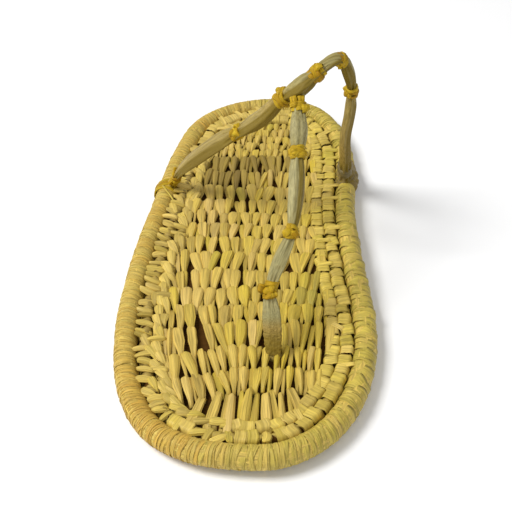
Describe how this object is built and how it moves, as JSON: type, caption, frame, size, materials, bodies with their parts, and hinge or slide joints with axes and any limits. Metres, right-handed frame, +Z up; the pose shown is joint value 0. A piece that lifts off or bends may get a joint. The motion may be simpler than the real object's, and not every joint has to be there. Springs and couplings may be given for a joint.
{
  "type": "woven thong sandal",
  "caption": "Flat open sandal for the right foot: sewn palm-leaf sole with a thick wrapped rim, a high cord-like back strap and a toe thong bound with small leaf ties.",
  "frame": {"origin": "on the floor, under the middle of the sole's length and ball width", "axes": "+Z up, +Y towards the heel, -Y towards the toe, +X towards the inner side of the right foot"},
  "size_m": [0.1116, 0.2469, 0.0959],
  "materials": {
    "field_leaf": "sewn dry palm leaf, straw yellow, matte with a slight sheen along the strips",
    "coil_leaf": "sewn dry palm leaf, pale straw, matte",
    "rim_leaf": "tightly wrapped palm leaf, golden straw, low sheen",
    "strap_leaf": "leaf wrapped lengthwise, grey olive, creased, low sheen",
    "tie_leaf": "twisted leaf strip, golden yellow, low sheen"
  },
  "bodies": {
    "root": {"sole_field": "field_leaf", "inner_coil": "coil_leaf", "middle_coil": "coil_leaf", "rim_coil": "rim_leaf", "straps": "strap_leaf", "tie_lateral_anchor": "tie_leaf", "tie_lateral_arm": "tie_leaf", "tie_junction_lateral": "tie_leaf", "tie_junction_medial": "tie_leaf", "tie_crown": "tie_leaf", "tie_medial_arm": "tie_leaf", "tie_medial_anchor": "tie_leaf", "tie_thong_low": "tie_leaf", "tie_thong_middle": "tie_leaf", "tie_thong_upper": "tie_leaf", "tie_thong_top": "tie_leaf"}
  },
  "joints": []
}
